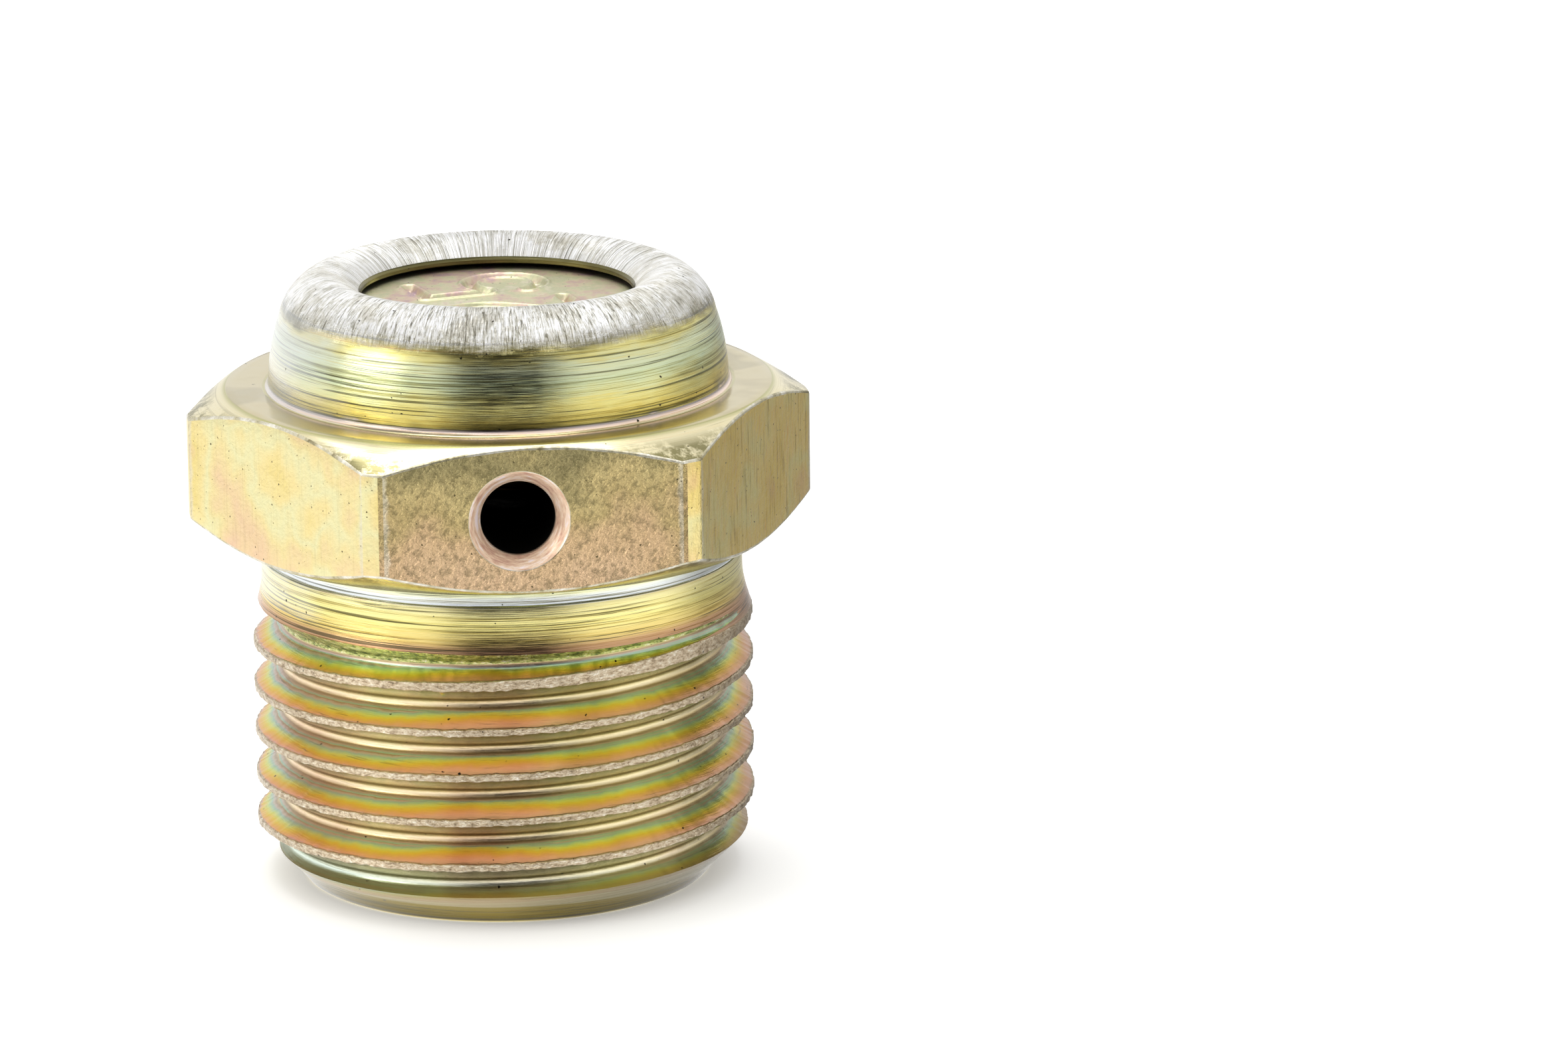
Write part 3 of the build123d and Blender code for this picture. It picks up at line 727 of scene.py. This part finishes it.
def turned_film(tree, at, off_faces, amount):
    """Chromate by height, partly painted light and shade, with circular streaks and scored lines, a painted
    highlight on the left side, and blots at corners.
    """
    place = at["place"]
    uneven = drift(tree, place, (0.13, 0.13, 0.35), 4.0, 0.65)
    above_foot = add(tree, "ShaderNodeMath", [at["z"], HEX_TOP_Z + 0.25], operation="GREATER_THAN")
    astray = add(tree, "ShaderNodeMath", [uneven, 3.2], operation="MULTIPLY")       # millimetres
    wander = add(tree, "ShaderNodeMath", [astray, above_foot], operation="MULTIPLY")
    wandered = add(tree, "ShaderNodeMath", [at["z"], wander], operation="ADD")
    share_up = add(tree, "ShaderNodeMath", [wandered, RIM_CROWN_Z], operation="DIVIDE")
    zones = add(tree, "ShaderNodeValToRGB", [share_up], [(z / RIM_CROWN_Z, c) for z, c in TURNED_FILM_AND_SHADING])
    streaks = add(tree, "ShaderNodeValToRGB", [grain(tree, place, (0.05, 0.05, 8.0), 5.0, 0.8)], [
        (0.33, "#5f5a3c"), (0.40, "#bdb083"), (0.46, "#fffbe6"), (0.54, "#ffffff"), (0.61, "#fdf0c4"),
        (0.69, "#e6b6a4")])
    streaked = add(tree, "ShaderNodeMix", {"Factor": amount, "A": zones, "B": streaks}, data_type="RGBA",
                   blend_type="MULTIPLY").outputs[2]
    scored = add(tree, "ShaderNodeMapRange", {
        "Value": grain(tree, place, (0.09, 0.09, 11.0)), "From Min": 0.57, "From Max": 0.60, "To Max": 0.9})
    scored_here = add(tree, "ShaderNodeMath", [scored, amount], operation="MULTIPLY")
    lined = add(tree, "ShaderNodeMix", {"Factor": scored_here, "A": streaked, "B": "#4a4830"},
                data_type="RGBA").outputs[2]

    below = add(tree, "ShaderNodeMath", [at["z"], HEX_SEAT_Z], operation="LESS_THAN")
    further = add(tree, "ShaderNodeMath", [below, 2.0], operation="MULTIPLY")
    ragged_x = add(tree, "ShaderNodeMath", [uneven, 6.0, at["x"]], operation="MULTIPLY_ADD")
    across = add(tree, "ShaderNodeMath", [ragged_x, further], operation="ADD")
    # Painted highlight: round walls above the threads are mixed towards pale blue-white on the left side,
    # starting further left below the hexagon's seat.
    side = add(tree, "ShaderNodeMapRange", {
        "Value": across, "From Min": -7.0, "From Max": -9.8, "To Max": 0.6})
    within = add(tree, "ShaderNodeMath", [at["radius"], HEX_FACE_R - 1.0], operation="LESS_THAN")
    over_threads = add(tree, "ShaderNodeMath", [at["z"], LEFT_HIGHLIGHT_FROM_Z], operation="GREATER_THAN")
    wall = add(tree, "ShaderNodeMath", [within, over_threads], operation="MULTIPLY")
    round_wall = add(tree, "ShaderNodeMath", [wall, off_faces], operation="MULTIPLY")
    left_highlight = add(tree, "ShaderNodeMath", [side, round_wall], operation="MULTIPLY")
    left_highlit = add(tree, "ShaderNodeMix", {"Factor": left_highlight, "A": lined, "B": "#e2e6ea"},
                  data_type="RGBA").outputs[2]

    blots = add(tree, "ShaderNodeMapRange", {
        "Value": grain(tree, place, (0.55, 0.55, 0.55), 6.0, 0.75), "From Min": 0.44, "From Max": 0.53})
    by_corner = add(tree, "ShaderNodeMapRange", {
        "Value": at["radius"], "From Min": 12.2, "From Max": 12.9, "To Max": 0.85})
    blots_here = add(tree, "ShaderNodeMath", [blots, by_corner], operation="MULTIPLY")
    return add(tree, "ShaderNodeMix", {"Factor": blots_here, "A": left_highlit, "B": "#787244"},
               data_type="RGBA").outputs[2]


def rolled_steel(tree, at):
    """Bare rolled steel: radial ridges and grey smudges. Returns its colour and the ridges."""
    spoke = add(tree, "ShaderNodeVectorMath", {0: at["outward"], "Scale": 100.0}, operation="SCALE")
    down = add(tree, "ShaderNodeMath", [at["z"], at["radius"]], operation="SUBTRACT")
    along = add(tree, "ShaderNodeCombineXYZ", {"Z": down})
    ridge_place = add(tree, "ShaderNodeVectorMath", [spoke, along], operation="ADD")
    ridges = add(tree, "ShaderNodeTexNoise", {
        "Vector": ridge_place, "Scale": 1.0, "Detail": 5.0, "Roughness": 0.72, "Distortion": 0.6}).outputs[0]
    steel = add(tree, "ShaderNodeValToRGB", [ridges], [
        (0.32, "#54524a"), (0.39, "#a09d92"), (0.46, "#dddbd3"), (0.54, "#ffffff")])
    smudge = add(tree, "ShaderNodeValToRGB", [grain(tree, at["place"], (0.4, 0.4, 0.6), 5.0, 0.75)], [
        (0.34, "#b4ad98"), (0.43, "#dedbd0"), (0.52, "#ffffff")])
    smudged = add(tree, "ShaderNodeMix", {"Factor": 0.7, "A": steel, "B": smudge}, data_type="RGBA",
                  blend_type="MULTIPLY").outputs[2]
    return smudged, ridges


def turned_finish():
    """Yellow chromate on turned steel with fine circular tool marks; the rolled rim is bare, ridged steel."""
    material, tree = new_material("yellow_chromate_on_turned_steel")
    at = axis_sockets(tree)
    place = at["place"]
    under_seat = add(tree, "ShaderNodeMath", [at["z"], HEX_SEAT_Z + 0.01], operation="LESS_THAN")
    over_top = add(tree, "ShaderNodeMath", [at["z"], HEX_TOP_Z + 0.01], operation="GREATER_THAN")
    off_faces = add(tree, "ShaderNodeMath", [under_seat, over_top], operation="MAXIMUM")
    amount = add(tree, "ShaderNodeMapRange", {"Value": off_faces, "To Min": 0.22, "To Max": 0.85})
    film = turned_film(tree, at, off_faces, amount)

    smudged, ridges = rolled_steel(tree, at)
    ragged_z = add(tree, "ShaderNodeMath", [drift(tree, place, (0.7, 0.7, 2.2), 6.0, 0.78), 1.3, at["z"]],
                   operation="MULTIPLY_ADD")
    bare = add(tree, "ShaderNodeMapRange", {
        "Value": ragged_z, "From Min": BARE_FROM_Z, "From Max": BARE_FULL_Z}, interpolation_type="SMOOTHSTEP")
    off_lip = add(tree, "ShaderNodeMath", [at["radius"], RIM_OPENING_R + 0.1], operation="GREATER_THAN")
    bare_here = add(tree, "ShaderNodeMath", [bare, off_lip], operation="MULTIPLY")
    metal = add(tree, "ShaderNodeMix", {"Factor": bare_here, "A": film, "B": smudged},
                data_type="RGBA").outputs[2]
    colour = pitted(tree, place, 0.36, 0.12, metal, "#3b3728")

    tool_marks = add(tree, "ShaderNodeMath", [grain(tree, place, (0.06, 0.06, 9.0), 4.0, 0.8), amount],
                     operation="MULTIPLY")
    turned = add(tree, "ShaderNodeBump", {"Height": tool_marks, "Strength": 0.7, "Distance": 0.03 * MM})
    ridges_here = add(tree, "ShaderNodeMath", [ridges, bare_here], operation="MULTIPLY")
    rolled = add(tree, "ShaderNodeBump", {
        "Height": ridges_here, "Strength": 1.0, "Distance": 0.13 * MM, "Normal": turned})
    roughness = add(tree, "ShaderNodeMapRange", {"Value": bare_here, "To Min": 0.2, "To Max": 0.3})
    finish(tree, colour, roughness, rolled)
    return material


def flats_finish():
    """Yellow chromate on drawn hexagon bar: drawing lines, pits, and a coarse peel on the vent's flat, whose
    hollows are painted darker as shade; that flat also darkens towards the top.
    """
    material, tree = new_material("yellow_chromate_on_drawn_bar")
    at = axis_sockets(tree)
    place = at["place"]
    clouds = grain(tree, place, (0.17, 0.17, 0.17), 3.0, 0.55)
    smooth = add(tree, "ShaderNodeValToRGB", [clouds], [
        (0.30, "#d8bc98"), (0.39, "#e2d08c"), (0.47, "#e6d69c"), (0.53, "#e0dcae"), (0.58, "#e4d59e"),
        (0.66, "#e2c8a0"), (0.76, "#dcb8a4")])
    off_axis = add(tree, "ShaderNodeMath", [at["y"]], operation="ABSOLUTE")
    on_vent_flat = add(tree, "ShaderNodeMath", [off_axis, HEX_AF / 2 - 0.1], operation="GREATER_THAN")
    uneven = add(tree, "ShaderNodeMath", [clouds, 0.5], operation="SUBTRACT")
    clouded_z = add(tree, "ShaderNodeMath", [uneven, 9.0, at["z"]], operation="MULTIPLY_ADD")
    # The vent's flat goes from tan at its foot to darker olive at its top.
    up_flat = add(tree, "ShaderNodeMapRange", {
        "Value": clouded_z, "From Min": HEX_SEAT_Z, "From Max": HEX_TOP_Z})
    darker_up_flat = add(tree, "ShaderNodeValToRGB", [up_flat], [
        (0.0, "#d6b896"), (0.30, "#d2b48e"), (0.48, "#beaa7a"), (0.62, "#c6b482"), (0.80, "#a2966c"),
        (1.0, "#8e8662")])
    film = add(tree, "ShaderNodeMix", {"Factor": on_vent_flat, "A": smooth, "B": darker_up_flat},
               data_type="RGBA").outputs[2]
    drawn = grain(tree, place, (6.0, 6.0, 0.4), 4.0, 0.7)
    drawn_tone = add(tree, "ShaderNodeValToRGB", [drawn], [
        (0.34, "#8f7c48"), (0.45, "#f4ecd0"), (0.58, "#ffffff"), (0.68, "#eec2a6")])
    lines_here = add(tree, "ShaderNodeMapRange", {
        "Value": at["x"], "From Min": 6.0, "From Max": 8.0, "To Min": 0.13, "To Max": 0.6})
    lined = add(tree, "ShaderNodeMix", {"Factor": lines_here, "A": film, "B": drawn_tone}, data_type="RGBA",
                blend_type="MULTIPLY").outputs[2]
    gilt = add(tree, "ShaderNodeMix", {"Factor": lines_here, "A": lined, "B": "#fff0b8"}, data_type="RGBA",
               blend_type="MULTIPLY").outputs[2]

    ragged_r = add(tree, "ShaderNodeMath", [drift(tree, place, (1.0, 1.0, 0.8), 4.0, 0.7), 0.3, at["radius"]],
                   operation="MULTIPLY_ADD")
    near_corner = add(tree, "ShaderNodeMapRange", {
        "Value": ragged_r, "From Min": HEX_CORNER_R - 0.12, "From Max": HEX_CORNER_R - 0.05, "To Max": 0.5})
    off_corner = add(tree, "ShaderNodeMath", [at["radius"], HEX_CORNER_R - 0.006], operation="LESS_THAN")
    strip = add(tree, "ShaderNodeMath", [near_corner, off_corner], operation="MULTIPLY")
    rubbed = add(tree, "ShaderNodeMix", {"Factor": strip, "A": gilt, "B": "#d9d4c2"},
                 data_type="RGBA").outputs[2]
    with_pits = pitted(tree, place, 0.23, 0.42, rubbed, "#5a5038")
    slanted = add(tree, "ShaderNodeVectorRotate", {"Vector": place, "Angle": radians(40)},
                  rotation_type="Y_AXIS")
    peel = grain(tree, slanted, (3.2, 3.2, 4.4))
    # Painted shade: where the peel's bump sinks, the vent's flat is mixed towards dark olive.
    hollow_shade = add(tree, "ShaderNodeMapRange", {
        "Value": peel, "From Min": 0.50, "From Max": 0.38, "To Max": 0.42})
    hollow_shade_here = add(tree, "ShaderNodeMath", [hollow_shade, on_vent_flat], operation="MULTIPLY")
    colour = add(tree, "ShaderNodeMix", {"Factor": hollow_shade_here, "A": with_pits, "B": "#5c5638"},
                 data_type="RGBA").outputs[2]
    share = add(tree, "ShaderNodeMapRange", {"Value": on_vent_flat, "To Min": 0.14, "To Max": 1.0})
    relief = add(tree, "ShaderNodeMath", [peel, share], operation="MULTIPLY")
    coarse = add(tree, "ShaderNodeBump", {"Height": relief, "Strength": 1.0, "Distance": 0.34 * MM})
    fine = add(tree, "ShaderNodeBump", {
        "Height": drawn, "Strength": 0.3, "Distance": 0.01 * MM, "Normal": coarse})
    finish(tree, colour, 0.28, fine)
    return material


def edge_finish():
    """Zinc rubbed through to pale metal along the hexagon's edges: grey white and uneven."""
    material, tree = new_material("rubbed_zinc_edge")
    at = axis_sockets(tree)
    wear = grain(tree, at["place"], (0.8, 0.8, 0.8), 6.0, 0.75)
    colour = add(tree, "ShaderNodeValToRGB", [wear], [
        (0.36, "#8a8060"), (0.45, "#c4bc9c"), (0.52, "#cfc9b4"), (0.62, "#ebe7da")])
    bump = add(tree, "ShaderNodeBump", {"Height": wear, "Strength": 1.0, "Distance": 0.1 * MM})
    finish(tree, colour, 0.4, bump)
    return material


def bore_finish():
    """Thin pinkish gold chromate in the countersink, duller in the inlet; deeper in, the vent's bore, the
    chamber and the gap under the lip are painted near black as shade.
    """
    material, tree = new_material("pink_chromate_with_painted_dark_holes")
    at = axis_sockets(tree)
    drill_marks = grain(tree, at["place"], (1.0, 7.0, 1.0), 4.0, 0.7)
    pink = add(tree, "ShaderNodeValToRGB", [drill_marks], [
        (0.34, "#c89a88"), (0.45, "#e2bfa2"), (0.55, "#f2d8bc"), (0.66, "#fbecec")])
    in_sink = add(tree, "ShaderNodeMapRange", {"Value": at["radius"], "From Min": 11.25, "From Max": 11.5})
    in_inlet = add(tree, "ShaderNodeMath", [at["z"], INLET_H + 0.1], operation="LESS_THAN")
    inlet = add(tree, "ShaderNodeValToRGB", [grain(tree, at["place"], (0.4, 0.4, 3.0), 4.0, 0.7)], [
        (0.36, "#8f8458"), (0.50, "#c2b684"), (0.64, "#dcd2a6")])
    # Painted shade: inside the countersink's rim, every hole wall but the inlet is near black.
    vent = add(tree, "ShaderNodeMix", {"Factor": in_sink, "A": "#0a0807", "B": pink},
               data_type="RGBA").outputs[2]
    colour = add(tree, "ShaderNodeMix", {"Factor": in_inlet, "A": vent, "B": inlet},
                 data_type="RGBA").outputs[2]
    bump = add(tree, "ShaderNodeBump", {"Height": drill_marks, "Strength": 0.5, "Distance": 0.03 * MM})
    finish(tree, colour, 0.42, bump, metallic=0.5)
    return material


def disc_finish():
    """Yellow chromate on a pressed steel disc: mottled cream, green and pink, with pale scratches."""
    material, tree = new_material("yellow_chromate_on_pressed_disc")
    at = axis_sockets(tree)
    mottle = add(tree, "ShaderNodeValToRGB", [grain(tree, at["place"], (0.5, 0.5, 0.3), 5.0, 0.72)], [
        (0.32, "#b59aa4"), (0.41, "#cdb3a2"), (0.48, "#d0c8a6"), (0.55, "#bfc09a"), (0.62, "#d6ceb6"),
        (0.72, "#bfa79c")])
    scratches = grain(tree, at["place"], (0.9, 7.0, 1.0), 6.0, 0.78)
    pale = add(tree, "ShaderNodeMapRange", {
        "Value": scratches, "From Min": 0.6, "From Max": 0.68, "To Max": 0.7})
    scratched = add(tree, "ShaderNodeMix", {"Factor": pale, "A": mottle, "B": "#f4efe2"},
                    data_type="RGBA").outputs[2]
    colour = pitted(tree, at["place"], 0.3, 0.3, scratched, "#4c4436")
    bump = add(tree, "ShaderNodeBump", {"Height": scratches, "Strength": 0.6, "Distance": 0.04 * MM})
    finish(tree, colour, 0.36, bump)
    return material


def inner_finish(name, per_mm, dark, light, strength, roughness, metallic=1.0):
    """A finish of two tones for the pieces inside, with a fine relief of the same pattern."""
    material, tree = new_material(name)
    marks = grain(tree, axis_sockets(tree)["place"], per_mm)
    colour = add(tree, "ShaderNodeValToRGB", [marks], [(0.3, dark), (0.7, light)])
    bump = add(tree, "ShaderNodeBump", {"Height": marks, "Strength": strength, "Distance": 0.02 * MM})
    finish(tree, colour, roughness, bump, metallic)
    return material


def wire_finish():
    """Phosphated and oiled spring wire: near black with drawing lines."""
    return inner_finish("phosphated_spring_wire", (3.0, 3.0, 9.0), "#252423", "#4a4846", 0.3, 0.32)


def brass_finish():
    """Turned free-cutting brass: warm yellow with circular tool marks."""
    return inner_finish("turned_brass", (0.2, 0.2, 14.0), "#b08a45", "#dcbc72", 0.4, 0.28)


def rubber_finish():
    """Moulded nitrile rubber: near black and matt, with a fine mould grain."""
    return inner_finish("moulded_nitrile_rubber", (6.0, 6.0, 6.0), "#151515", "#262524", 0.3, 0.6,
                        metallic=0.0)


def floor_finish():
    """White acrylic table, lit a little from below."""
    material, tree = new_material("white_acrylic_table")
    shader = add(tree, "ShaderNodeBsdfPrincipled", {
        "Base Color": "#fafafa", "Roughness": 0.9, "Emission Color": "#ffffff", "Emission Strength": 0.22})
    add(tree, "ShaderNodeOutputMaterial", {"Surface": shader})
    return material


# ======== build ========
def outer_radius(z):
    """Radius of the turned blank's outside at a height on the shank."""
    return np.interp(z, [p[1] for p in SHANK_LINE], [p[0] for p in SHANK_LINE])


def way_made(face):
    """Place, among the body's finishes, of the finish that a face has from the way it was made."""
    thread, turned, flats, bore, edge = range(5)
    x, y, z = (c / MM for c in face.center)
    radius = np.hypot(x, y)
    nx, ny, nz = face.normal
    outwards = (nx * x + ny * y) / max(radius, 1e-9)
    from_vent = np.hypot(x - VENT_X, z - VENT_Z)
    # The vent's bore, the chamber's walls and the gap under the lip take the bore finish, which paints them
    # near black as shade.
    if y < VENT_SIDE_Y and from_vent < VENT_SINK_R - 0.01 and (abs(ny) < 0.98 or y > 0.01 - HEX_AF / 2):
        return bore
    if y < VENT_SIDE_Y and from_vent < VENT_SINK_R + 0.06 and abs(ny) < 0.999:
        return edge
    if radius < CHAMBER_R + 1.1 and outwards < 0.5 and 0.01 < z < DISC_TOP_Z + LIP_GAP:
        return bore
    drop = (radius - HEX_FACE_R) * CHAMFER_SLOPE
    off_chamfer = min(z - HEX_SEAT_Z - drop, HEX_TOP_Z - drop - z)
    if HEX_SEAT_Z < z < HEX_TOP_Z and radius > HEX_FACE_R and off_chamfer > 0.004:
        return flats if abs(nz) < 0.05 else edge
    if radius > 9.5 and 1.0 < z < GROOVE_TOP_Z:
        uncut = z > SHANK_FOOT_Z and radius > outer_radius(z) - 0.02 and outwards > 0.7
        off_cone = z > 2.0 or radius < 9.5 + z * 0.7        # the end's cone itself is turned
        return thread if off_cone and not uncut else turned
    return turned


def dress_body(piece, materials):
    """Gives every face of the body the finish of the way it was made."""
    for material in materials:
        piece.data.materials.append(material)
    for face in piece.data.polygons:
        face.material_index = way_made(face)


def make_valve():
    body = turned_blank()
    cut(body, vent_cutter())
    cut(body, from_tree("groove_cutter", groove_tree()))
    outward(body)
    roughen_crests(body)
    dress_body(body, [thread_finish(), turned_finish(), flats_finish(), bore_finish(), edge_finish()])
    smooth_by_angle(body, 33)
    disc = stamped_disc()
    disc.data.materials.append(disc_finish())
    spring = wound_spring(wire_finish())
    for piece, node, slot in ((body, "valve_body", "plated_steel"), (disc, "closing_disc", "plated_disc"),
                              (spring, "valve_spring", "spring_steel")):
        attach(piece, "body")
        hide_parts(node)
    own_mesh(spring)
    for node, material in (("poppet", brass_finish()), ("poppet_seal", rubber_finish())):
        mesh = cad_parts[node].data
        mesh.materials.clear()
        mesh.materials.append(material)


def make_camera():
    level = Vector((cos(CAMERA_TURN), -sin(CAMERA_TURN), 0))
    ahead = Vector((sin(CAMERA_TURN), cos(CAMERA_TURN), 0))
    look = ahead * cos(CAMERA_PITCH) - Vector((0, 0, sin(CAMERA_PITCH)))
    upright = level.cross(look)
    right = level * cos(CAMERA_ROLL) - upright * sin(CAMERA_ROLL)
    up = right.cross(look)
    data = bpy.data.cameras.new("camera")
    data.sensor_width = SENSOR_W
    data.lens = FOCAL_PX / IMAGE_W_PX * SENSOR_W
    data.clip_start = 0.01
    data.clip_end = 20.0
    camera = bpy.data.objects.new("camera", data)
    bpy.context.scene.collection.objects.link(camera)
    axes = Matrix((right, up, -look)).transposed().to_4x4()
    camera.matrix_world = Matrix.Translation(Vector(CAMERA_PLACE) * MM) @ axes
    bpy.context.scene.camera = camera


def make_floor():
    half = 3.0
    level = -0.01 * MM                  # just below the valve's end face
    corners = [(-half, -half, level), (half, -half, level), (half, half, level), (-half, half, level)]
    floor = mesh_object("paper_floor", corners, [(0, 1, 2, 3)])
    floor.data.materials.append(floor_finish())
    floor.visible_glossy = False


def make_light():
    """A white tent with a dark gap where the camera stands and a dim corner at the back, and two lamps."""
    world = bpy.data.worlds.new("light_tent")
    bpy.context.scene.world = world
    world.use_nodes = True
    tree = world.node_tree
    tree.nodes.clear()
    way = add(tree, "ShaderNodeTexCoord").outputs["Generated"]
    turned = add(tree, "ShaderNodeVectorRotate", {"Vector": way, "Angle": CAMERA_TURN},
                 rotation_type="Z_AXIS")
    x, y, z = add(tree, "ShaderNodeSeparateXYZ", [turned]).outputs
    forward = add(tree, "ShaderNodeMath", [y, -1.0], operation="MULTIPLY")
    angle = add(tree, "ShaderNodeMath", [x, forward], operation="ARCTAN2")
    share = add(tree, "ShaderNodeMapRange", {"Value": angle, "From Min": -pi, "From Max": pi})
    gap = add(tree, "ShaderNodeValToRGB", [share], [
        (0.0, 0.0), (0.415, 0.0), (0.452, 1.0), (0.570, 1.0), (0.615, 0.0), (1.0, 0.0)])
    corner = add(tree, "ShaderNodeValToRGB", [share], [
        (0.0, 0.2), (0.06, 0.0), (0.74, 0.0), (0.80, 1.0), (0.95, 1.0), (1.0, 0.2)])
    level = add(tree, "ShaderNodeMapRange", {"Value": z, "From Min": -1.0, "From Max": 1.0})
    gap_height = add(tree, "ShaderNodeValToRGB", [level], [
        (0.0, 0.0), (0.33, 0.0), (0.385, 0.35), (0.44, 0.95), (0.72, 1.0), (0.83, 0.0), (1.0, 0.0)])
    corner_height = add(tree, "ShaderNodeValToRGB", [level], [
        (0.0, 0.4), (0.35, 0.65), (0.47, 0.65), (0.54, 0.0), (1.0, 0.0)])
    whole = add(tree, "ShaderNodeValToRGB", [level], [
        (0.0, 1.0), (0.36, 0.9), (0.48, 0.72), (0.52, 0.66), (1.0, 0.66)])
    gap_dark = add(tree, "ShaderNodeMath", [gap, gap_height], operation="MULTIPLY")
    corner_dark = add(tree, "ShaderNodeMath", [corner, corner_height], operation="MULTIPLY")
    gap_light = add(tree, "ShaderNodeMath", [1.0, gap_dark], operation="SUBTRACT")
    corner_light = add(tree, "ShaderNodeMath", [1.0, corner_dark], operation="SUBTRACT")
    both = add(tree, "ShaderNodeMath", [gap_light, corner_light], operation="MULTIPLY")
    strength = add(tree, "ShaderNodeMath", [whole, TENT_STRENGTH], operation="MULTIPLY")
    tent = add(tree, "ShaderNodeMath", [both, strength], operation="MULTIPLY")
    back = add(tree, "ShaderNodeBackground", {"Color": "#ffffff", "Strength": tent})
    add(tree, "ShaderNodeOutputWorld", {"Surface": back})

    for name, place, size, power in LAMPS:
        data = bpy.data.lights.new(name, "AREA")
        data.shape = "SQUARE"
        data.size = size
        data.energy = power
        lamp = bpy.data.objects.new(name, data)
        bpy.context.scene.collection.objects.link(lamp)
        lamp.location = place
        lamp.rotation_euler = (Vector(LAMPS_AIM) - Vector(place)).to_track_quat("-Z", "Y").to_euler()


make_valve()
make_camera()
make_floor()
make_light()
bpy.context.scene.view_settings.view_transform = "Standard"
